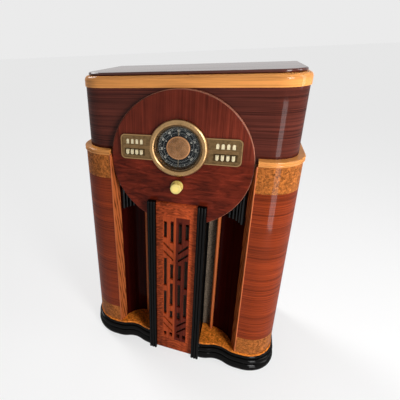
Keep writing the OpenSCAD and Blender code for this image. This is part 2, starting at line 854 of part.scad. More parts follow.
module speaker_basket() {
  windows = 6;
  y_end = basket_y + basket_d;
  color("#3b3d40") difference() {
    about_y(speaker_z) {
      translate([cone_r + 3, basket_y]) square([flange_r - cone_r - 3, basket_t]);
      polygon([[cone_r + 3, basket_y], [cone_r + 3 + basket_t, basket_y], [pot_r + basket_t, y_end],
        [30, y_end], [30, y_end - basket_t], [pot_r, y_end - basket_t]]);
    }
    for (i = [0 : windows - 1]) translate([0, 0, speaker_z]) rotate([0, i * 360 / windows, 0])
      translate([-22, basket_y + 14, 0]) cube([44, basket_d - 30, flange_r]);
    for (a = [45 : 90 : 315]) translate([0, basket_y - 1, speaker_z]) rotate([0, a, 0])
      translate([0, 0, flange_r - 9]) rotate([-90, 0, 0]) cylinder(r = 3.2, h = basket_t + 2);
  }
}

module speaker_cone() {
  y_end = basket_y + basket_d - 12;
  color("#2f2b27") about_y(speaker_z)
    polygon([[cone_r - 1, basket_y + 1], [cone_r + 1.2, basket_y + 1], [26, y_end], [0, y_end],
      [0, y_end - 2], [24, y_end - 2]]);
}

module field_coil() {
  y0 = basket_y + basket_d;
  color("#4b4238") about_y(speaker_z) {
    translate([0, y0]) square([pot_r, 62]);
    translate([0, y0 + 62]) square([pot_r - 14, 5]);
    translate([0, y0 - 10]) square([20, 10]);
  }
}

// Nuts on the speaker's studs, and the bolts that hold the chassis to its shelf
module fasteners() {
  color("#9a8f6f") {
    for (a = [45 : 90 : 315]) translate([0, basket_y, speaker_z]) rotate([0, a, 0])
      translate([0, basket_t, flange_r - 9]) rotate([-90, 0, 0]) {
        cylinder(r = 7, h = 4, $fn = 6);
        translate([0, 0, -basket_t]) cylinder(r = 3, h = basket_t + 9);
      }
    for (x = [-chassis_w / 2 - 8, chassis_w / 2 + 8], y = [30, chassis_d - 30])
      translate([x, chassis_y + y, shelf_z]) cylinder(r = 7, h = 6, $fn = 6);
  }
}

// Places the cabinet with its middle over the origin
module placed() {
  translate([0, -mid_y, 0]) children();
}

placed() top_board();
placed() top_edge_band();
placed() upper_front_panel();
placed() upper_side(-1);  // upper_left_side
placed() upper_side(1);  // upper_right_side
placed() column_shaft(-1);  // left_column_shaft
placed() column_shaft(1);  // right_column_shaft
placed() column_top_bands();
placed() column_foot_bands();
placed() side_panel(-1);  // left_side_panel
placed() side_panel(1);  // right_side_panel
placed() column_caps();
placed() column_beads();
placed() inlay_strips();
placed() niche_wall(-1);  // left_niche_wall
placed() niche_wall(1);  // right_niche_wall
placed() niche_posts();
placed() valance(-1);  // left_valance
placed() valance(1);  // right_valance
placed() base_board();
placed() plinth(-1);  // left_plinth
placed() plinth(1);  // right_plinth
placed() rear_rails();
placed() grille_cloth();
placed() control_disc();
placed() fret_panel();
placed() stile(-1);  // left_stile
placed() stile(1);  // right_stile
placed() speaker_baffle();
placed() chassis_shelf();
placed() dial_bezel();
placed() dial_glass();
placed() dial_face();
placed() button_plate(-1);  // left_button_plate
placed() button_plate(1);  // right_button_plate
placed() station_tabs();
placed() pointer();
placed() dial_hub();
placed() drive_disc();
placed() condenser_rotor();
placed() condenser_frame();
placed() tuning_knob();
placed() tuning_shaft();
placed() chassis();
placed() tubes();
placed() tube_bases();
placed() power_transformer();
placed() shield_cans();
placed() speaker_basket();
placed() speaker_cone();
placed() field_coil();
placed() fasteners();
for (i = [0 : 3]) {
  placed() push_button(-1, i);
  placed() push_button(1, i);
}
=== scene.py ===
"""Looks of a floor-standing console radio, dressed over its solid model."""

import math

import bmesh
import bpy
from mathutils import Matrix, Vector


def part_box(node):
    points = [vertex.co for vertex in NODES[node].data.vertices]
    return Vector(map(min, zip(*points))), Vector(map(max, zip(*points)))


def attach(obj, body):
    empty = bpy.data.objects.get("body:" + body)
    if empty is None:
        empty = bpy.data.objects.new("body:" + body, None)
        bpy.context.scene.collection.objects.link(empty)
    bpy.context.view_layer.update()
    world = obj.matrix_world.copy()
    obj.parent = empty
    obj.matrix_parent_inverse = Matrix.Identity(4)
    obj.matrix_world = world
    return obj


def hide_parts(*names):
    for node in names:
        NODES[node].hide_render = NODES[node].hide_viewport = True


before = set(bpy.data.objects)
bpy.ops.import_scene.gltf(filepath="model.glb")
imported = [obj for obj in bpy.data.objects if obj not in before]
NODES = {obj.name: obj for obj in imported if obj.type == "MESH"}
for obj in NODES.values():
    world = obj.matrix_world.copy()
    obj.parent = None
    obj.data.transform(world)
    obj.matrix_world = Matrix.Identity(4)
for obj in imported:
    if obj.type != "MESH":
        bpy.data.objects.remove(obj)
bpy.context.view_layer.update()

bl_info = {
    "name": "Console radio",
    "version": (1, 0, 0),
    "blender": (4, 5, 0),
    "location": "View3D > Sidebar > Radio",
    "description": "Lacquered veneers, dial print, valves and studio for a console radio",
    "category": "Object",
}

BUTTONS = [f"{side}_button_{i}" for side in ("left", "right") for i in (1, 2, 3, 4)]
PRINT = 0.0002  # thickness of the dial's print, in metres


def colour(name, words, value):
    """A colour property with a linear default."""
    return bpy.props.FloatVectorProperty(
        name=name, description=words, subtype="COLOR", size=3, min=0, max=1, default=value
    )


def length(name, words, value):
    """A length property in metres."""
    return bpy.props.FloatProperty(
        name=name, description=words, default=value, subtype="DISTANCE", unit="LENGTH"
    )


class RadioFinishes(bpy.types.PropertyGroup):
    """Colours of the veneers, lacquers and fittings."""

    case_wood: colour("Upper case", "Dark walnut of the upper case and the top", (0.085, 0.0175, 0.0105))
    disc_wood: colour("Control panel", "Red walnut of the round control panel", (0.122, 0.0190, 0.0095))
    shaft_wood: colour("Columns", "Orange-red striped walnut of the columns", (0.205, 0.0265, 0.0045))
    sill_wood: colour("Alcove floor", "Orange burl of the alcove floor", (0.700, 0.195, 0.022))
    burl_wood: colour("Burl", "Golden burl of the bands", (0.330, 0.100, 0.019))
    pale_wood: colour("Pale wood", "Light band and caps", (0.640, 0.260, 0.066))
    post_wood: colour("Posts", "Reddish posts, beads and inlay of the alcoves", (0.500, 0.125, 0.035))
    fret_wood: colour("Fret", "Light leaf and border of the centre panel", (0.310, 0.050, 0.013))
    # Painted shade: a much darker colour for the right leaf of the fret.
    leaf_wood: colour("Dark leaf", "Right leaf of the centre panel, darkened as painted shade", (0.088, 0.0120, 0.0055))
    niche_wood: colour("Alcoves", "Dark maroon of the curved walls", (0.026, 0.0022, 0.0013))
    black: colour("Black lacquer", "Plinth, stiles and valances", (0.0016, 0.0014, 0.0013))
    bronze: colour("Bronze", "Bezel and push-button plates", (0.440, 0.268, 0.120))
    copper: colour("Copper", "Domed boss in the dial", (0.400, 0.195, 0.085))
    ivory: colour("Ivory", "Push-buttons and tabs", (0.620, 0.530, 0.330))
    knob: colour("Knob", "Tuning knob", (0.720, 0.560, 0.160))
    cloth: colour("Cloth", "Grille cloth", (0.125, 0.092, 0.064))


class RadioSizes(bpy.types.PropertyGroup):
    """Sizes of the added pieces and the camera's lens."""

    scale_radius: length("Scale radius", "Radius of the outer ring of numbers", 0.0520)
    tick_radius: length("Tick radius", "Outer radius of the ring of marks", 0.0622)
    number_height: length("Number height", "Height of the dial numbers", 0.0085)
    cloth_thickness: length("Cloth thickness", "Thickness of the grille cloth", 0.0005)
    lens: bpy.props.FloatProperty(
        name="Lens", description="Focal length of the camera in millimetres", default=28.17, unit="CAMERA"
    )


class Value:
    """A socket whose arithmetic adds Math nodes to its node tree."""

    def __init__(self, shading, socket):
        self.shading = shading
        self.socket = socket

    def math(self, operation, *others):
        """A Math node on this value and others."""
        return self.shading.math(operation, self, *others)

    def __add__(self, other):
        return self.math("ADD", other)

    __radd__ = __add__

    def __mul__(self, other):
        return self.math("MULTIPLY", other)

    __rmul__ = __mul__

    def __sub__(self, other):
        return self.math("SUBTRACT", other)

    def __rsub__(self, other):
        return self.shading.math("SUBTRACT", other, self)

    def __truediv__(self, other):
        return self.math("DIVIDE", other)

    def __rtruediv__(self, other):
        return self.shading.math("DIVIDE", other, self)

    def __or__(self, other):
        """The larger of two masks."""
        return self.math("MAXIMUM", other)

    __ror__ = __or__

    def __abs__(self):
        return self.math("ABSOLUTE")

    def step(self, low, high):
        """0 below low, 1 above high, smooth between."""
        node = self.shading.node(
            "ShaderNodeMapRange",
            {"interpolation_type": "SMOOTHSTEP"},
            {"Value": self, "From Min": low, "From Max": high},
        )
        return Value(self.shading, node.outputs[0])

    def between(self, low, high, soft):
        """1 from low to high with soft ends."""
        return self.step(low - soft, low + soft) * (1 - self.step(high - soft, high + soft))


class Shading:
    """A node tree that expressions add to."""

    def __init__(self, tree):
        self.tree = tree

    def plug(self, socket, value):
        """Links a value to a socket, or sets the socket to a number or colour."""
        if isinstance(value, Value):
            value = value.socket
        if isinstance(value, bpy.types.NodeSocket):
            self.tree.links.new(value, socket)
        elif socket.type == "RGBA" and len(value) == 3:
            socket.default_value = (*value, 1)
        else:
            socket.default_value = value

    def node(self, kind, settings, inputs):
        """Adds a node with its settings, and plugs its sockets by name or in order."""
        node = self.tree.nodes.new(kind)
        for key, value in settings.items():
            if key == "stops":
                ramp = node.color_ramp
                while len(ramp.elements) < len(value):
                    ramp.elements.new(0.5)
                for element, (place, tint) in zip(ramp.elements, value):
                    element.position = place
                    element.color = (*tint, 1)
            else:
                setattr(node, key, value)
        pairs = inputs.items() if isinstance(inputs, dict) else enumerate(inputs)
        for key, value in pairs:
            self.plug(node.inputs[key], value)
        return node

    def math(self, operation, *values):
        """A Math node on values and numbers."""
        node = self.node("ShaderNodeMath", {"operation": operation}, values)
        return Value(self, node.outputs[0])


class Finish(Shading):
    """A node material with one Principled shader."""

    def __init__(self, name, **sockets):
        self.material = bpy.data.materials.new(name)
        self.material.use_nodes = True
        super().__init__(self.material.node_tree)
        self.tree.nodes.clear()
        self.shader = self.node("ShaderNodeBsdfPrincipled", {}, {})
        self.out = self.node("ShaderNodeOutputMaterial", {}, {"Surface": self.shader.outputs[0]})
        self.set(**sockets)

    def set(self, **sockets):
        """Sets or links sockets of the shader, named with _ for a space."""
        for key, value in sockets.items():
            self.plug(self.shader.inputs[key.replace("_", " ")], value)

    def place(self, scale, offset=(0, 0, 0)):
        """Object coordinates through a Mapping node."""
        coords = self.node("ShaderNodeTexCoord", {}, {})
        mapping = self.node(
            "ShaderNodeMapping",
            {},
            {"Vector": coords.outputs["Object"], "Location": offset, "Scale": scale},
        )
        return mapping.outputs[0]

    def axes(self):
        """The object's own x, y and z, in metres."""
        coords = self.node("ShaderNodeTexCoord", {}, {})
        split = self.node("ShaderNodeSeparateXYZ", {}, {"Vector": coords.outputs["Object"]})
        return [Value(self, socket) for socket in split.outputs]

    def radius(self, height):
        """Distance from the line along Y through x = 0 at that height."""
        x, _, z = self.axes()
        return (x * x + (z - height) * (z - height)).math("SQRT")

    def noise(self, where, detail=4.0, rough=0.55, twist=0.0):
        """Noise at placed coordinates, about 0.5."""
        node = self.node(
            "ShaderNodeTexNoise",
            {},
            {"Vector": where, "Scale": 1.0, "Detail": detail, "Roughness": rough, "Distortion": twist},
        )
        return Value(self, node.outputs[0])

    def ramp(self, value, stops):
        """Colours along a value."""
        return self.node("ShaderNodeValToRGB", {"stops": stops}, {"Fac": value}).outputs[0]

    def mix(self, factor, first, second, blend="MIX"):
        """Two colours mixed by a factor, through the Mix node's colour sockets."""
        settings = {"data_type": "RGBA", "blend_type": blend}
        node = self.node("ShaderNodeMix", settings, {0: factor, 6: first, 7: second})
        return node.outputs[2]

    def bump(self, height, strength, distance):
        """Relief from a value."""
        node = self.node(
            "ShaderNodeBump", {}, {"Height": height, "Strength": strength, "Distance": distance}
        )
        self.set(Normal=node.outputs[0])


def tone(base, gain):
    """A colour made lighter or darker."""
    return tuple(min(1.0, part * gain) for part in base)


def lacquer(name, coat=0.30):
    """Varnish: a clear glossy coat over a soft base."""
    return Finish(name, Specular_IOR_Level=0.0, Coat_Weight=coat, Coat_Roughness=0.07)


def grained(name, base, grain, pores, contrast, lines, coat, shift=0.0, spread=(0.35, 1.6)):
    """Straight-grained veneer.

    grain and pores are the frequencies of the figure and of the dark lines along each axis, lines is the
    depth of the dark lines, and spread holds the gains of the darkest and the lightest wood.
    """
    finish = lacquer(name, coat=coat)
    dark, light = spread
    coarse = tuple(frequency * 0.05 for frequency in grain)
    broad = finish.noise(finish.place(scale=coarse, offset=(shift, shift, shift)), 3, rough=0.5, twist=0.3)
    along = finish.place(scale=grain, offset=(shift, 2 * shift, shift))
    fine = finish.noise(along, 6, rough=0.65, twist=0.2)
    line = finish.noise(finish.place(scale=pores, offset=(0, shift, 3)), 3, rough=0.6)
    figure = (broad - 0.5) * (0.8 * contrast) + (fine - 0.5) * (1.5 * contrast) + 0.5
    wood = finish.ramp(
        figure,
        [(0.10, tone(base, dark)), (0.38, tone(base, 0.72)), (0.56, base), (0.90, tone(base, light))],
    )
    finish.set(Base_Color=finish.mix(line.step(0.52, 0.66) * lines, wood, tone(base, 0.22)))
    finish.set(Roughness=fine * 0.12 + 0.24)
    finish.set(Coat_Weight=coat - line.step(0.55, 0.70) * (0.25 * coat))
    return finish


def burled(name, base, painted_shade_edge=None):
    """Mottled burl with small eyes.

    The last argument gives the (half width, depth) of a front strip that is painted black as shade.
    """
    finish = lacquer(name, coat=0.16)
    swirl = finish.noise(finish.place(scale=(42, 42, 46)), 6, rough=0.62, twist=1.6)
    flecks = finish.noise(finish.place(scale=(125, 125, 125), offset=(3, 1, 7)), 4, rough=0.6, twist=0.9)
    spots = finish.place(scale=(110, 110, 110))
    eyes = finish.node("ShaderNodeTexVoronoi", {"feature": "F1"}, {"Vector": spots, "Scale": 1.0})
    knots = 1 - Value(finish, eyes.outputs[0]).step(0.12, 0.36)
    wood = finish.ramp(
        (swirl - 0.5) * 0.8 + (flecks - 0.5) * 1.7 + 0.5,
        [(0.14, tone(base, 0.30)), (0.36, tone(base, 0.62)), (0.56, base), (0.86, tone(base, 1.55))],
    )
    wood = finish.mix(knots * 0.6, wood, tone(base, 0.30))
    if painted_shade_edge:
        x, y, _ = finish.axes()
        half, depth = painted_shade_edge
        soft = 0.001
        # Painted shade: the front strip, seen through the fret, is made almost black.
        painted_shade_strip = (1 - abs(x).step(half, half + soft)) * (1 - y.step(depth, depth + soft))
        wood = finish.mix(painted_shade_strip, wood, tone(base, 0.02))
    finish.set(Base_Color=wood, Roughness=flecks * 0.14 + 0.22)
    return finish


def striped(name, pale, dark, pitch):
    """Inlay of long light and dark streaks that slant steeply up the strip."""
    lean, waver = 0.11, 1.6
    finish = lacquer(name)
    _, y, z = finish.axes()
    wobble = finish.noise(finish.place(scale=(90, 90, 6)), 4) * (pitch * waver)
    streak = ((z * lean + wobble + y) / pitch).math("FRACT")
    grain = finish.noise(finish.place(scale=(300, 300, 12)), 3)
    light = finish.mix(grain, tone(pale, 0.7), tone(pale, 1.2))
    finish.set(Base_Color=finish.mix(streak.between(0.60, 0.92, 0.10) * 0.85, light, dark))
    finish.set(Roughness=grain * 0.15 + 0.22)
    return finish


def ebonised(name, base, gloss_to=1.0, gloss=0.20):
    """Black lacquer with a little haze, unpolished further back than gloss_to."""
    finish = lacquer(name)
    _, y, _ = finish.axes()
    haze = finish.noise(finish.place(scale=(9, 9, 14)), 4)
    dust = finish.noise(finish.place(scale=(240, 240, 240)), 2)
    finish.set(Base_Color=finish.mix(haze * 0.6, base, tone(base, 2.2)))
    finish.set(Roughness=haze * 0.10 + dust * 0.08 + 0.16)
    soft = 0.004
    polished = 1 - y.step(gloss_to, gloss_to + soft)
    finish.set(Coat_Weight=(gloss - dust.step(0.5, 0.8) * 0.05) * polished)
    return finish


def metal(name, base, rough, brushed=(40, 40, 40), depth=0.35):
    """Metal with brushing and stains, darker by depth where it is stained."""
    finish = Finish(name, Metallic=1.0)
    brush = finish.noise(finish.place(scale=brushed), 4)
    stain = finish.noise(finish.place(scale=(90, 90, 90), offset=(2, 5, 1)), 5, rough=0.6)
    finish.set(Base_Color=finish.mix(stain.step(0.35, 0.72) * depth, base, tone(base, 0.45)))
    finish.set(Roughness=brush * 0.16 + stain * 0.14 + (rough - 0.14))
    return finish


def moulded(name, base, rough, depth=0.25):
    """Polished moulding, darker by depth where its colour is cloudy."""
    finish = Finish(name, Coat_Weight=0.25, Coat_Roughness=0.08)
    haze = finish.noise(finish.place(scale=(60, 60, 60)), 4, rough=0.6, twist=0.6)
    finish.set(Base_Color=finish.mix(haze.step(0.35, 0.75) * depth, base, tone(base, 0.62)))
    finish.set(Roughness=haze * 0.18 + (rough - 0.08))
    return finish


def woven(name, base):
    """Coarse grille cloth with a speckled weave."""
    finish = Finish(name, Roughness=0.85, Specular_IOR_Level=0.1, Sheen_Weight=0.1)
    x, _, z = finish.axes()
    weave = (x * 2400).math("SINE") * (z * 2100).math("SINE") * 0.5 + 0.5
    fleck = finish.noise(finish.place(scale=(420, 420, 210)), 3, rough=0.7)
    finish.set(
        Base_Color=finish.ramp(
            fleck * 0.8 + weave * 0.2,
            [(0.32, tone(base, 0.25)), (0.5, base), (0.64, tone(base, 1.9)), (0.76, tone(base, 3.0))],
        )
    )
    finish.bump(weave * 0.6 + fleck * 0.4, strength=0.5, distance=0.0006)
    return finish


def finishes():
    """The scene's colours."""
    return bpy.context.scene.radio_finishes


def sizes():
    """The scene's sizes."""
    return bpy.context.scene.radio_sizes


def dress(finish, *names):
    """Puts a finish on CAD nodes."""
    for name in names:
        slots = NODES[name].data.materials
        slots.clear()
        slots.append(finish.material)


def middle(node):
    """Middle of a CAD node's box."""
    low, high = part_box(node)
    return (low + high) / 2


def add_mesh(name, mesh, finish):
    """Shows a mesh as a piece that rides on the cabinet."""
    mesh.materials.clear()
    mesh.materials.append(finish.material)
    piece = bpy.data.objects.new(name, mesh)
    bpy.context.scene.collection.objects.link(piece)
    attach(piece, "cabinet")
    return piece


def add_piece(name, bm, finish):
    """Makes a piece of a bmesh, with its faces outwards."""
    bmesh.ops.recalc_face_normals(bm, faces=bm.faces)
    mesh = bpy.data.meshes.new(name)
    bm.to_mesh(mesh)
    bm.free()
    return add_mesh(name, mesh, finish)


def islands(node):
    """Boxes of the separate solids of a CAD node, as (lowest corner, highest corner)."""
    bm = bmesh.new()
    bm.from_mesh(NODES[node].data)
    bmesh.ops.remove_doubles(bm, verts=bm.verts, dist=1e-6)
    left = set(bm.verts)
    boxes = []
    while left:
        queue = [left.pop()]
        found = []
        while queue:
            vert = queue.pop()
            found.append(vert.co.copy())
            for edge in vert.link_edges:
                other = edge.other_vert(vert)
                if other in left:
                    left.remove(other)
                    queue.append(other)
        lowest, highest = (Vector(map(pick, zip(*found))) for pick in (min, max))
        boxes.append((lowest, highest))
    bm.free()
    return sorted(boxes, key=lambda box: (round(box[0].x, 4), round(box[0].y, 4)))


class RADIO_OT_cabinet_veneers(bpy.types.Operator):
    """Veneers and lacquers of the cabinet's boards, bands, trim, alcoves and plinth."""

    bl_idname = "radio.cabinet_veneers"
    bl_label = "Cabinet veneers"
    bl_options = {"REGISTER", "UNDO"}

    def execute(self, context):
        colours = finishes()
        self.walnut(tuple(colours.case_wood), tuple(colours.shaft_wood))
        self.burl(tuple(colours.burl_wood), tuple(colours.sill_wood))
        self.trim(tuple(colours.pale_wood), tuple(colours.post_wood))
        self.alcoves(tuple(colours.niche_wood))
        self.black(tuple(colours.black))
        self.bare_boards()
        return {"FINISHED"}

    def walnut(self, case, shaft):
        """Lying grain on the upper case and the columns, and a high gloss on the top."""
        look = {"contrast": 1.0, "lines": 0.8, "coat": 0.24}
        upper = grained("Carcass walnut", case, (2.5, 2.5, 230), (1.6, 1.6, 340), **look)
        dress(upper, "upper_front_panel", "upper_left_side", "upper_right_side")
        look = {"contrast": 0.9, "lines": 0.5, "coat": 0.8, "shift": 4.0}
        top = grained("Top walnut", case, (2.5, 110, 110), (1.5, 260, 260), **look)
        dress(top, "top_board")
        look = {"contrast": 0.95, "lines": 0.75, "coat": 0.24, "shift": 1.0}
        column = grained("Column walnut", shaft, (3.5, 3.5, 330), (2.0, 2.0, 560), **look)
        dress(column, "left_column_shaft", "right_column_shaft", "left_side_panel", "right_side_panel")

    def burl(self, golden, sill):
        """Burl bands, and the alcove floor, which is painted black as shade where it shows through the fret.
        """
        dress(burled("Golden burl", golden), "column_top_bands", "column_foot_bands")
        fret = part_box("fret_panel")[1]
        behind = 0.012
        dress(burled("Alcove floor burl", sill, (fret.x, fret.y + behind)), "base_board")

    def trim(self, pale, reddish):
        """Light band and caps, reddish posts and beads, and the streaked inlay."""
        look = {"contrast": 0.5, "lines": 0.25, "coat": 0.35, "shift": 2.0, "spread": (0.6, 1.3)}
        band = grained("Pale band", pale, (6, 6, 170), (4, 4, 420), **look)
        dress(band, "top_edge_band", "column_caps")
        post = grained("Pale post", reddish, (150, 150, 5), (400, 400, 4), **look)
        dress(post, "niche_posts", "column_beads")
        pitch = 0.011
        inlay = striped("Barred inlay", tone(reddish, 0.85), tone(reddish, 0.16), pitch)
        dress(inlay, "inlay_strips")

    def alcoves(self, maroon):
        """Dark curved walls with hardly any gloss."""
        look = {"contrast": 0.8, "lines": 0.5, "coat": 0.05, "shift": 3.0}
        wall = grained("Alcove lacquer", maroon, (90, 90, 3), (300, 300, 4), **look)
        dress(wall, "left_niche_wall", "right_niche_wall")

    def black(self, base):
        """Black lacquer, glossier on the flutes, and dull on the parts of the stiles behind the fret."""
        dress(ebonised("Black lacquer", base), "left_plinth", "right_plinth")
        dress(ebonised("Flute lacquer", base, gloss=0.5), "left_valance", "right_valance")
        stile = ebonised("Stile lacquer", base, gloss_to=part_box("fret_panel")[1].y, gloss=0.19)
        dress(stile, "left_stile", "right_stile")

    def bare_boards(self):
        """Unfinished boards inside."""
        raw = (0.16, 0.085, 0.042)
        look = {"contrast": 0.9, "lines": 0.4, "coat": 0.0, "shift": 5.0}
        board = grained("Bare board", raw, (5, 60, 60), (3, 200, 200), **look)
        dress(board, "speaker_baffle", "chassis_shelf", "rear_rails")


class RADIO_OT_grille(bpy.types.Operator):
    """Speckled cloth stretched behind the fret and beside the stiles; the cloth behind the fret is darkened
    as painted shade.
    """

    bl_idname = "radio.grille"
    bl_label = "Grille cloth"
    bl_options = {"REGISTER", "UNDO"}

    def execute(self, context):
        cloth = woven("Grille cloth", tuple(finishes().cloth))
        # Painted shade: the cloth behind the fret is a much darker copy of the same cloth.
        painted_shade_cloth = woven("Grille cloth in painted shade", tone(finishes().cloth, 0.20))
        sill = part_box("base_board")[1].z
        fret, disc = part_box("fret_panel"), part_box("control_disc")
        stile, posts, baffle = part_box("right_stile"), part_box("niche_posts"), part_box("speaker_baffle")
        # Reach behind an edge, gap under a board's edge, and a post's outer side to the cloth.
        tuck, air, post_side = 0.012, 0.003, 0.0125
        across = (fret[0].x, fret[1].x)
        up = (sill - tuck, disc[0].z - air)
        self.stretch("cloth_centre", painted_shade_cloth, across, up, fret[1].y, "fret_panel")
        inner, outer = stile[1].x - tuck, posts[1].x - post_side
        for side, name in ((1, "cloth_right"), (-1, "cloth_left")):
            span = sorted((side * inner, side * outer))
            self.stretch(name, cloth, span, (sill, baffle[1].z - air), baffle[0].y, "speaker_baffle")
        return {"FINISHED"}

    def stretch(self, name, cloth, across, up, y, held_by):
        """A taut sheet that lies in front of its board or behind the fret."""
        thick = sizes().cloth_thickness
        width, height = across[1] - across[0], up[1] - up[0]
        behind = held_by == "fret_panel"
        bm = bmesh.new()
        bmesh.ops.create_grid(bm, x_segments=12, y_segments=60, size=0.5)
        bmesh.ops.scale(bm, verts=bm.verts, vec=(width, height, 1))
        upright = Matrix.Rotation(math.radians(90), 3, "X")
        bmesh.ops.rotate(bm, verts=bm.verts, cent=(0, 0, 0), matrix=upright)
        off_board = thick * (0.4 if behind else -1.0)
        bmesh.ops.translate(bm, verts=bm.verts, vec=(sum(across) / 2, y + off_board, sum(up) / 2))
        bmesh.ops.solidify(bm, geom=bm.faces, thickness=thick)
        piece = add_piece(name, bm, cloth)
        if behind:
            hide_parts("grille_cloth")


class RADIO_OT_centre_panel(bpy.types.Operator):
    """Veneers of the control panel and the fret."""

    bl_idname = "radio.centre_panel"
    bl_label = "Control panel and fret"
    bl_options = {"REGISTER", "UNDO"}

    def execute(self, context):
        self.panel()
        self.fret()
        return {"FINISHED"}

    def panel(self):
        """Upright grain above the dial's wings and mottled grain below, with a painted highlight along the
        rim.
        """
        base = tuple(finishes().disc_wood)
        finish = lacquer("Control panel walnut", coat=0.15)
        _, _, z = finish.axes()
        upright = finish.noise(finish.place(scale=(150, 60, 3)), 6, rough=0.62, twist=0.3)
        blotches = finish.noise(finish.place(scale=(14, 60, 62)), 6, rough=0.62, twist=1.4)
        mottled = (blotches - 0.5) * 1.5 + 0.44
        broad = finish.noise(finish.place(scale=(9, 9, 7), offset=(4, 2, 1)), 3)
        wings = middle("left_button_plate").z
        fade_from, fade_to = 0.045, 0.005
        above = z.step(wings - fade_from, wings - fade_to)
        figure = upright * above + mottled * (1 - above) + (broad - 0.5) * 0.7
        wood = finish.ramp(
            figure,
            [(0.22, tone(base, 0.40)), (0.42, tone(base, 0.78)), (0.56, base), (0.80, tone(base, 1.65))],
        )
        line = finish.noise(finish.place(scale=(420, 60, 5), offset=(1, 0, 0)), 3).step(0.55, 0.68) * above
        low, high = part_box("control_disc")
        reach = (high.x - low.x) / 2
        # Painted highlight: a pale line along the panel's edge and over its side face.
        rim_from, rim_full = 0.0022, 0.0010
        rim = finish.radius(middle("control_disc").z).step(reach - rim_from, reach - rim_full)
        warm, rim_highlight_colour = (1.0, 0.72, 0.55), (0.36, 0.16, 0.10)
        wood = finish.mix((1 - above) * 0.8, wood, warm, "MULTIPLY")
        wood = finish.mix(line * 0.5, wood, tone(base, 0.3))
        finish.set(Base_Color=finish.mix(rim * 0.6, wood, rim_highlight_colour), Roughness=figure * 0.12 + 0.24)
        dress(finish, "control_disc")

    def fret(self):
        """One light leaf and one leaf darkened as painted shade, in a cross-banded border, which is darker
        on the left.
        """
        border_w, head, foot, soft = 0.0232, 0.0496, 0.0544, 0.0004
        colours = finishes()
        base, dark = tuple(colours.fret_wood), tuple(colours.leaf_wood)
        low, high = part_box("fret_panel")
        half = (high.x - low.x) / 2
        finish = lacquer("Book-matched fret", coat=0.12)
        x, y, z = finish.axes()
        mirrored = finish.node("ShaderNodeCombineXYZ", {}, [abs(x) * 150, y * 60, z * 6])
        leaf = finish.noise(mirrored.outputs[0], 6, rough=0.62, twist=0.6)
        slant = finish.node("ShaderNodeCombineXYZ", {}, [abs(x) * 60 + z * 60, y * 60, z * 130])
        cross = finish.noise(slant.outputs[0], 4, rough=0.6, twist=0.4)
        light = finish.ramp(
            leaf,
            [
                (0.28, tone(base, 0.50)),
                (0.46, tone(base, 0.95)),
                (0.62, tone(base, 1.2)),
                (0.8, tone(base, 1.7)),
            ],
        )
        # Painted shade: the right leaf is the same veneer figure in a much darker tone.
        painted_shade_leaf = finish.ramp(leaf, [(0.28, tone(dark, 0.5)), (0.5, dark), (0.8, tone(dark, 1.9))])
        edge = finish.ramp(
            cross - (1 - x.step(-half, half)) * 0.16,
            [(0.24, tone(base, 0.36)), (0.46, tone(base, 1.05)), (0.74, tone(base, 2.1))],
        )
        border = abs(x).step(half - border_w - soft, half - border_w + soft)
        upper, lower = high.z - head, low.z + foot
        ends = z.step(upper - soft, upper + soft) | (1 - z.step(lower - soft, lower + soft))
        leaves = finish.mix(x.step(-soft, soft), light, painted_shade_leaf)
        finish.set(Base_Color=finish.mix(border | ends, leaves, edge), Roughness=leaf * 0.12 + 0.22)
        dress(finish, "fret_panel")


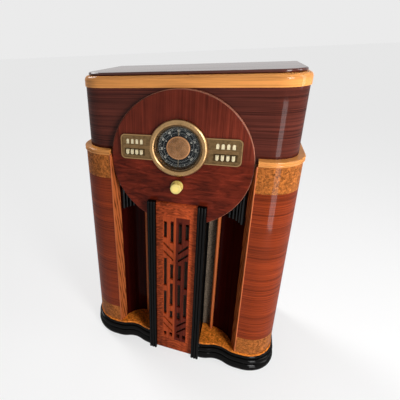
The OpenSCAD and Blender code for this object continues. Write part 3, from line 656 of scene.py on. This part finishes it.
class RADIO_OT_dial(bpy.types.Operator):
    """Bezel, wings, glass, face, pointer, boss and the printed scale."""

    bl_idname = "radio.dial"
    bl_label = "Dial"
    bl_options = {"REGISTER", "UNDO"}

    def execute(self, context):
        colours = finishes()
        self.centre = middle("dial_face").z
        self.bezel(tuple(colours.bronze))
        self.wings(tuple(colours.bronze))
        self.boss(tuple(colours.copper))
        self.face()
        self.glass()
        dress(moulded("Pointer enamel", (0.26, 0.19, 0.10), rough=0.35), "pointer")
        ink = moulded("Dial print", (0.78, 0.76, 0.66), rough=0.5, depth=0.1)
        self.marks(ink)
        self.numbers(ink)
        return {"FINISHED"}

    def glass(self):
        """Thin clear glass with a faint smear."""
        finish = Finish("Dial glass", Base_Color=(0.02, 0.025, 0.028), IOR=1.5, Alpha=0.06)
        smear = finish.noise(finish.place(scale=(25, 25, 25)), 3)
        finish.set(Roughness=smear * 0.05 + 0.01)
        dress(finish, "dial_glass")

    def bezel(self, base):
        """Bright bead with a dark inner slope."""
        finish = metal("Bezel bronze", base, rough=0.28)
        radius = finish.radius(self.centre)
        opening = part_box("dial_glass")[1].x
        stain = finish.noise(finish.place(scale=(70, 70, 70)), 5, rough=0.6)
        slope_from, slope_to = 0.0005, 0.0035
        slope = 1 - radius.step(opening + slope_from, opening + slope_to)
        paler_middle = finish.mix(stain.step(0.40, 0.72) * 0.5, base, tone(base, 0.5))
        finish.set(Base_Color=finish.mix(slope * 0.75, paler_middle, tone(base, 0.22)))
        dress(finish, "dial_bezel")

    def wings(self, base):
        """Browned plates, bright on the raised rim, less so on the ribs, with painted shade round the
        push-buttons.
        """
        finish = metal("Wing bronze", tone(base, 0.55), rough=0.34)
        x, y, z = finish.axes()
        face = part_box("left_button_plate")[0].y
        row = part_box("left_button_1")
        first, last = sorted(abs(middle(n).x) for n in ("left_button_1", "left_button_4"))
        raised_to, sunk_from = 0.0008, 0.0018
        raised = 1 - y.step(face + raised_to, face + sunk_from)
        # Painted shade: the plate round the push-button row is made almost black.
        beside, under, over, soft = 0.011, 0.003, 0.004, 0.001
        button_shade = z.between(row[0].z - under, row[1].z + over, soft)
        button_shade = button_shade * abs(x).between(first - beside, last + beside, soft)
        patina = finish.noise(finish.place(scale=(120, 120, 120)), 5, rough=0.65)
        plate = finish.mix(patina.step(0.35, 0.7), tone(base, 0.52), tone(base, 0.28))
        shaded_plate = finish.mix(button_shade * 0.75, plate, tone(base, 0.10))
        middle_line, rib_reach = middle("left_button_plate").z, 0.006
        ribs = z.between(middle_line - rib_reach, middle_line + rib_reach, soft)
        finish.set(Base_Color=finish.mix(raised * (1 - ribs * 0.35), shaded_plate, tone(base, 0.9)))
        dress(finish, "left_button_plate", "right_button_plate")

    def boss(self, base):
        """Spun copper with a bright rim."""
        finish = metal("Copper boss", base, rough=0.32)
        radius = finish.radius(self.centre)
        reach = (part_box("dial_hub")[1].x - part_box("dial_hub")[0].x) / 2
        turned = finish.node("ShaderNodeCombineXYZ", {}, [radius * 900, 0.0, 0.0])
        rings = finish.noise(turned.outputs[0], 3, rough=0.6)
        cloud = finish.noise(finish.place(scale=(60, 60, 60)), 5, rough=0.65)
        spun = finish.ramp(
            cloud * 0.8 + rings * 0.25, [(0.3, tone(base, 0.4)), (0.55, base), (0.8, tone(base, 1.35))]
        )
        rim_w, soft = 0.0034, 0.0004
        finish.set(Base_Color=finish.mix(radius.between(reach - rim_w, reach, soft), spun, tone(base, 1.6)))
        finish.set(Roughness=rings * 0.2 + 0.22)
        dress(finish, "dial_hub")

    def face(self):
        """Satin black with printed circles."""
        lengths = sizes()
        finish = Finish("Dial black", Roughness=0.35, Specular_IOR_Level=0.2)
        radius = finish.radius(self.centre)
        haze = finish.noise(finish.place(scale=(80, 80, 80)), 3)
        ground = finish.mix(haze, (0.003, 0.004, 0.005), (0.010, 0.013, 0.014))
        line_w, soft, grey = 0.0006, 0.0002, (0.42, 0.44, 0.42)
        marks_gap, numbers_gap = 0.0072, 0.0062
        under_marks, under_numbers = lengths.tick_radius - marks_gap, lengths.scale_radius - numbers_gap
        outer = radius.between(under_marks, under_marks + line_w, soft)
        inner = radius.between(under_numbers, under_numbers + line_w, soft)
        finish.set(Base_Color=finish.mix((outer | inner) * 0.8, ground, grey))
        dress(finish, "dial_face")

    def marks(self, ink):
        """A ring of fine marks, every fifth one longer."""
        outer = sizes().tick_radius
        count, group = 90, 5
        long_mark, short_mark = (0.0009, 0.0056), (0.0005, 0.0036)
        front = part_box("dial_face")[0].y - PRINT
        bm = bmesh.new()
        for i in range(count):
            width, reach = short_mark if i % group else long_mark
            made = bmesh.ops.create_cube(bm, size=1.0)["verts"]
            bmesh.ops.scale(bm, verts=made, vec=(width, PRINT, reach))
            bmesh.ops.translate(bm, verts=made, vec=(0, front, outer - reach / 2))
            turn = Matrix.Rotation(math.radians(360 / count * i), 3, "Y")
            bmesh.ops.rotate(bm, verts=made, cent=(0, 0, 0), matrix=turn)
        bmesh.ops.translate(bm, verts=bm.verts, vec=(0, 0, self.centre))
        add_piece("dial_marks", bm, ink)

    def numbers(self, ink):
        """Two rings of numbers, open at the bottom."""
        lengths = sizes()
        step_in, shrink = 0.0105, 0.75
        outer, tall = lengths.scale_radius, lengths.number_height
        rings = (
            (outer, tall, (55, 60, 70, 80, 90, 100, 120, 140, 160)),
            (outer - step_in, tall * shrink, (6, 7, 8, 9, 10, 12, 14, 16, 18)),
        )
        start, sweep = -128, 256
        for ring, (radius, height, values) in enumerate(rings):
            for i, value in enumerate(values):
                angle = math.radians(start + sweep * i / (len(values) - 1))
                self.number(f"dial_number_{ring + 1}_{i + 1}", str(value), radius, height, angle, ink)

    def number(self, name, word, radius, height, angle, ink):
        """A number as a mesh, turned to its angle round the dial."""
        curve = bpy.data.curves.new(name, "FONT")
        curve.body = word
        curve.size = height
        curve.align_x = "CENTER"
        curve.align_y = "CENTER"
        curve.extrude = PRINT / 2
        label = bpy.data.objects.new("label", curve)
        bpy.context.scene.collection.objects.link(label)
        bpy.context.view_layer.update()
        mesh = bpy.data.meshes.new_from_object(label.evaluated_get(bpy.context.evaluated_depsgraph_get()))
        bpy.data.objects.remove(label)
        upright = Matrix.Rotation(math.radians(90), 4, "X")
        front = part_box("dial_face")[0].y - PRINT
        turn = Matrix.Rotation(angle, 4, "Y") @ Matrix.Translation((0, 0, radius)) @ upright
        mesh.transform(Matrix.Translation((0, front, self.centre)) @ turn)
        add_mesh(name, mesh, ink)


class RADIO_OT_controls(bpy.types.Operator):
    """Push-buttons, station tabs and the tuning knob."""

    bl_idname = "radio.controls"
    bl_label = "Controls"
    bl_options = {"REGISTER", "UNDO"}

    def execute(self, context):
        ivory = tuple(finishes().ivory)
        dress(moulded("Ivory", ivory, rough=0.25, depth=0.2), *BUTTONS)
        dress(moulded("Tab card", tone(ivory, 1.1), rough=0.5, depth=0.3), "station_tabs")
        self.knob(tuple(finishes().knob))
        return {"FINISHED"}

    def knob(self, base):
        """Amber moulding, paler towards its middle."""
        pale_to, full_from = 0.006, 0.015
        finish = moulded("Amber ivory", base, rough=0.24)
        radius = finish.radius(middle("tuning_knob").z)
        cloud = finish.noise(finish.place(scale=(70, 70, 70)), 4, rough=0.6, twist=0.8)
        body = finish.mix(cloud.step(0.35, 0.7) * 0.4, base, tone(base, 0.6))
        paler_middle = 1 - radius.step(pale_to, full_from)
        finish.set(Base_Color=finish.mix(paler_middle * 0.6, body, tone(base, 1.3)))
        dress(finish, "tuning_knob")


class RADIO_OT_works(bpy.types.Operator):
    """Finishes of the chassis, the speaker and the drive, and the insides of the valves."""

    bl_idname = "radio.works"
    bl_label = "Works"
    bl_options = {"REGISTER", "UNDO"}

    def execute(self, context):
        steel = metal("Turned steel", (0.50, 0.50, 0.51), rough=0.32, brushed=(400, 20, 400))
        dress(steel, "tuning_shaft", "drive_disc", "fasteners")
        rolled = {"rough": 0.36, "brushed": (20, 20, 260), "depth": 0.2}
        sheet = metal("Rolled aluminium", (0.62, 0.63, 0.64), **rolled)
        dress(sheet, "condenser_rotor", "shield_cans")
        dull = {"rough": 0.45, "brushed": (60, 60, 60), "depth": 0.6}
        plated = metal("Dull plated steel", (0.40, 0.39, 0.37), **dull)
        dress(plated, "chassis", "condenser_frame")
        for name, base, rough, node in (
            ("Black enamel", (0.010, 0.010, 0.011), 0.35, "speaker_basket"),
            ("Black bakelite", (0.012, 0.010, 0.009), 0.28, "tube_bases"),
            ("Brown enamel", (0.075, 0.048, 0.032), 0.4, "field_coil"),
        ):
            dress(moulded(name, base, rough, depth=0.5), node)
        self.transformer()
        self.cone()
        self.valves(sheet)
        return {"FINISHED"}

    def transformer(self):
        """Black shells round a stack of laminations."""
        finish = moulded("Transformer enamel", (0.010, 0.010, 0.011), rough=0.35, depth=0.5)
        _, _, z = finish.axes()
        low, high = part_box("power_transformer")
        tall, soft = high.z - low.z, 0.0004
        stack_foot, stack_head = low.z + 0.34 * tall, low.z + 0.60 * tall
        stack = z.between(stack_foot, stack_head, soft)
        leaves = (z * 3200).math("SINE").step(-0.2, 0.6)
        core = finish.mix(leaves, (0.020, 0.017, 0.015), (0.085, 0.075, 0.066))
        haze = finish.noise(finish.place(scale=(60, 60, 60)), 4)
        shell = finish.mix(haze, (0.006, 0.006, 0.007), (0.018, 0.018, 0.020))
        finish.set(Base_Color=finish.mix(stack, shell, core))
        dress(finish, "power_transformer")

    def cone(self):
        """Felted paper with pressed rings."""
        finish = Finish("Cone paper", Roughness=0.9, Specular_IOR_Level=0.1)
        radius = finish.radius(middle("speaker_cone").z)
        felt = finish.noise(finish.place(scale=(500, 500, 500)), 4, rough=0.7)
        rings = (radius * 700).math("SINE") * 0.5 + 0.5
        finish.set(Base_Color=finish.mix(felt, (0.012, 0.010, 0.009), (0.046, 0.038, 0.031)))
        finish.bump(felt * 0.3 + rings * 0.7, strength=0.5, distance=0.0012)
        dress(finish, "speaker_cone")

    def valves(self, sheet):
        """Clear bulbs with a silvered top, and a plate, mica discs and rods in each."""
        glass = Finish("Valve glass", Base_Color=(0.75, 0.80, 0.80), Roughness=0.04, IOR=1.5)
        _, _, z = glass.axes()
        bulbs = islands("tubes")
        crown = max(high.z for low, high in bulbs)
        clear_to, silver_from = 0.030, 0.012
        flash = z.step(crown - clear_to, crown - silver_from)
        glass.set(Alpha=flash * 0.5 + 0.16, Metallic=flash * 0.6)
        dress(glass, "tubes")
        mica = moulded("Mica", (0.55, 0.50, 0.40), rough=0.3, depth=0.3)
        carbon = {"rough": 0.5, "brushed": (60, 60, 60), "depth": 0.5}
        plate = metal("Carbonised plate", (0.055, 0.052, 0.050), **carbon)
        plates, discs, rods = bmesh.new(), bmesh.new(), bmesh.new()
        for low, high in bulbs:
            self.fill(low, high, plates, discs, rods)
        add_piece("valve_plates", plates, plate)
        add_piece("valve_micas", discs, mica)
        add_piece("valve_rods", rods, sheet)

    def fill(self, low, high, plates, discs, rods):
        """The inside of one bulb; shares are of its height and radius."""
        plate_foot, plate_head, plate_wide, plate_deep = 0.24, 0.62, 0.46, 0.30
        disc_shares, disc_wide, disc_t = (0.20, 0.66), 0.60, 0.0008
        rod_head, rod_apart, rod_foot, rod_r = 0.70, 0.40, 0.01, 0.0009
        foot = Vector(((low.x + high.x) / 2, (low.y + high.y) / 2, low.z))
        tall, half = high.z - low.z, (high.x - low.x) / 2
        across = (half * plate_wide, half * plate_deep)
        self.barrel(plates, foot, (plate_foot * tall, plate_head * tall), across)
        for share in disc_shares:
            across = (half * disc_wide, half * disc_wide)
            self.barrel(discs, foot, (share * tall, share * tall + disc_t), across)
        for side in (-1, 1):
            spot = foot + Vector((side * half * rod_apart, 0, 0))
            self.barrel(rods, spot, (rod_foot, rod_head * tall), (rod_r, rod_r), sides=10)

    def barrel(self, bm, foot, heights, across, sides=20):
        """An upright oval drum between two heights over a foot."""
        bottom, top = heights
        cone = bmesh.ops.create_cone(bm, cap_ends=True, segments=sides, radius1=1, radius2=1, depth=1)
        made = cone["verts"]
        bmesh.ops.scale(bm, verts=made, vec=(*across, top - bottom))
        bmesh.ops.translate(bm, verts=made, vec=foot + Vector((0, 0, (bottom + top) / 2)))


class RADIO_OT_studio(bpy.types.Operator):
    """Pale floor, soft lamps and the camera at the photograph's angle."""

    bl_idname = "radio.studio"
    bl_label = "Studio"
    bl_options = {"REGISTER", "UNDO"}

    def execute(self, context):
        scene = bpy.context.scene
        scene.view_settings.view_transform = "Standard"
        self.floor(scene)
        self.surroundings(scene)
        self.lamps(scene)
        self.camera(scene)
        return {"FINISHED"}

    def seen(self, shading):
        """1 for what the camera, a reflection or a view through glass shows."""
        rays = shading.node("ShaderNodeLightPath", {}, {}).outputs
        total = Value(shading, rays["Is Camera Ray"])
        for kind in ("Is Glossy Ray", "Is Transmission Ray"):
            total = total | Value(shading, rays[kind])
        return total

    def floor(self, scene):
        """Pale floor that keeps the radio's shadow and fades into the backdrop."""
        half_side, glow, glow_share = 60, 0.96, 0.66
        bm = bmesh.new()
        bmesh.ops.create_grid(bm, x_segments=1, y_segments=1, size=half_side)
        mesh = bpy.data.meshes.new("studio_floor")
        bm.to_mesh(mesh)
        bm.free()
        floor = bpy.data.objects.new("studio_floor", mesh)
        scene.collection.objects.link(floor)
        grey = (0.80, 0.80, 0.80)
        paint = Finish("Floor", Base_Color=grey, Roughness=0.8, Specular_IOR_Level=0.0)
        white = paint.node("ShaderNodeEmission", {}, {"Color": (1, 1, 1), "Strength": glow})
        part = self.seen(paint) * glow_share
        paper = paint.node("ShaderNodeMixShader", {}, [part, paint.shader.outputs[0], white.outputs[0]])
        paint.plug(paint.out.inputs["Surface"], paper.outputs[0])
        mesh.materials.append(paint.material)

    def surroundings(self, scene):
        """White backdrop, dimmer as a light than as it is seen."""
        lights, shows = 0.15, 0.83
        world = bpy.data.worlds.new("Studio")
        scene.world = world
        world.use_nodes = True
        sky = Shading(world.node_tree)
        back = world.node_tree.nodes["Background"]
        sky.plug(back.inputs["Color"], (1, 1, 1))
        sky.plug(back.inputs["Strength"], self.seen(sky) * (shows - lights) + lights)

    def lamps(self, scene):
        """A soft sun from behind on the left, and windows that shine on the lacquer."""
        sun = bpy.data.lights.new("key", "SUN")
        sun.energy = 2.3
        sun.angle = math.radians(25)
        self.hang(scene, sun, (-1.8, 1.0, 2.2))
        for name, place, wide, tall, power in (
            ("window", (1.20, -1.10, 1.4), 0.5, 0.8, 23),
            ("side_window", (1.9, 0.0, 1.5), 0.4, 1.6, 12),
            ("painted_shade_strip", (0.98, -1.00, 0.40), 0.36, 0.8, 7),
            ("back_window", (-0.3, 2.2, 2.7), 0.9, 0.9, 12),
        ):
            lamp = bpy.data.lights.new(name, "AREA")
            lamp.shape = "RECTANGLE"
            lamp.size, lamp.size_y = wide, tall
            lamp.energy = power
            self.hang(scene, lamp, place)

    def hang(self, scene, lamp, place):
        """A lamp at a place, aimed at the middle of the radio."""
        holder = bpy.data.objects.new(lamp.name, lamp)
        scene.collection.objects.link(holder)
        holder.location = place
        holder.visible_camera = False
        middle_height = 0.6
        aim = Vector((0, 0, middle_height)) - Vector(place)
        holder.rotation_euler = aim.to_track_quat("-Z", "Y").to_euler()

    def camera(self, scene):
        """The photograph's viewpoint, with its off-centre framing as a shift."""
        place = (0.1915, -1.0672, 1.1277)
        yaw, pitch, roll = -0.3877, 0.3993, -0.0505
        shift_right, shift_up = 0.185, -0.05
        flat = math.cos(pitch)
        ahead = Vector((math.sin(yaw) * flat, math.cos(yaw) * flat, -math.sin(pitch)))
        level = Vector((math.cos(yaw), -math.sin(yaw), 0))
        above = level.cross(ahead)
        right = level * math.cos(roll) + above * math.sin(roll)
        up = above * math.cos(roll) - level * math.sin(roll)
        lens = bpy.data.cameras.new("camera")
        lens.sensor_width = 36
        lens.lens = sizes().lens
        lens.shift_x = shift_right
        lens.shift_y = shift_up
        lens.clip_start = 0.05
        holder = bpy.data.objects.new("camera", lens)
        scene.collection.objects.link(holder)
        turn = Matrix((right, up, -ahead)).transposed().to_4x4()
        holder.matrix_world = Matrix.Translation(place) @ turn
        scene.camera = holder


class RADIO_PT_panel(bpy.types.Panel):
    """Lists the steps and the values."""

    bl_idname = "RADIO_PT_panel"
    bl_label = "Console radio"
    bl_space_type = "VIEW_3D"
    bl_region_type = "UI"
    bl_category = "Radio"

    def draw(self, context):
        for step in STEPS:
            self.layout.operator(step.bl_idname)
        for group in (context.scene.radio_finishes, context.scene.radio_sizes):
            for key in group.__annotations__:
                self.layout.prop(group, key)


STEPS = (
    RADIO_OT_studio,
    RADIO_OT_cabinet_veneers,
    RADIO_OT_grille,
    RADIO_OT_centre_panel,
    RADIO_OT_dial,
    RADIO_OT_controls,
    RADIO_OT_works,
)
CLASSES = (RadioFinishes, RadioSizes, *STEPS, RADIO_PT_panel)


def register():
    """Adds the classes and the scene's values to Blender."""
    for item in CLASSES:
        bpy.utils.register_class(item)
    bpy.types.Scene.radio_finishes = bpy.props.PointerProperty(type=RadioFinishes)
    bpy.types.Scene.radio_sizes = bpy.props.PointerProperty(type=RadioSizes)


def unregister():
    """Takes them out again."""
    del bpy.types.Scene.radio_sizes
    del bpy.types.Scene.radio_finishes
    for item in reversed(CLASSES):
        bpy.utils.unregister_class(item)


def main():
    """Makes the whole radio."""
    register()
    for step in STEPS:
        group, name = step.bl_idname.split(".")
        getattr(getattr(bpy.ops, group), name)()


if __name__ == "__main__":
    main()
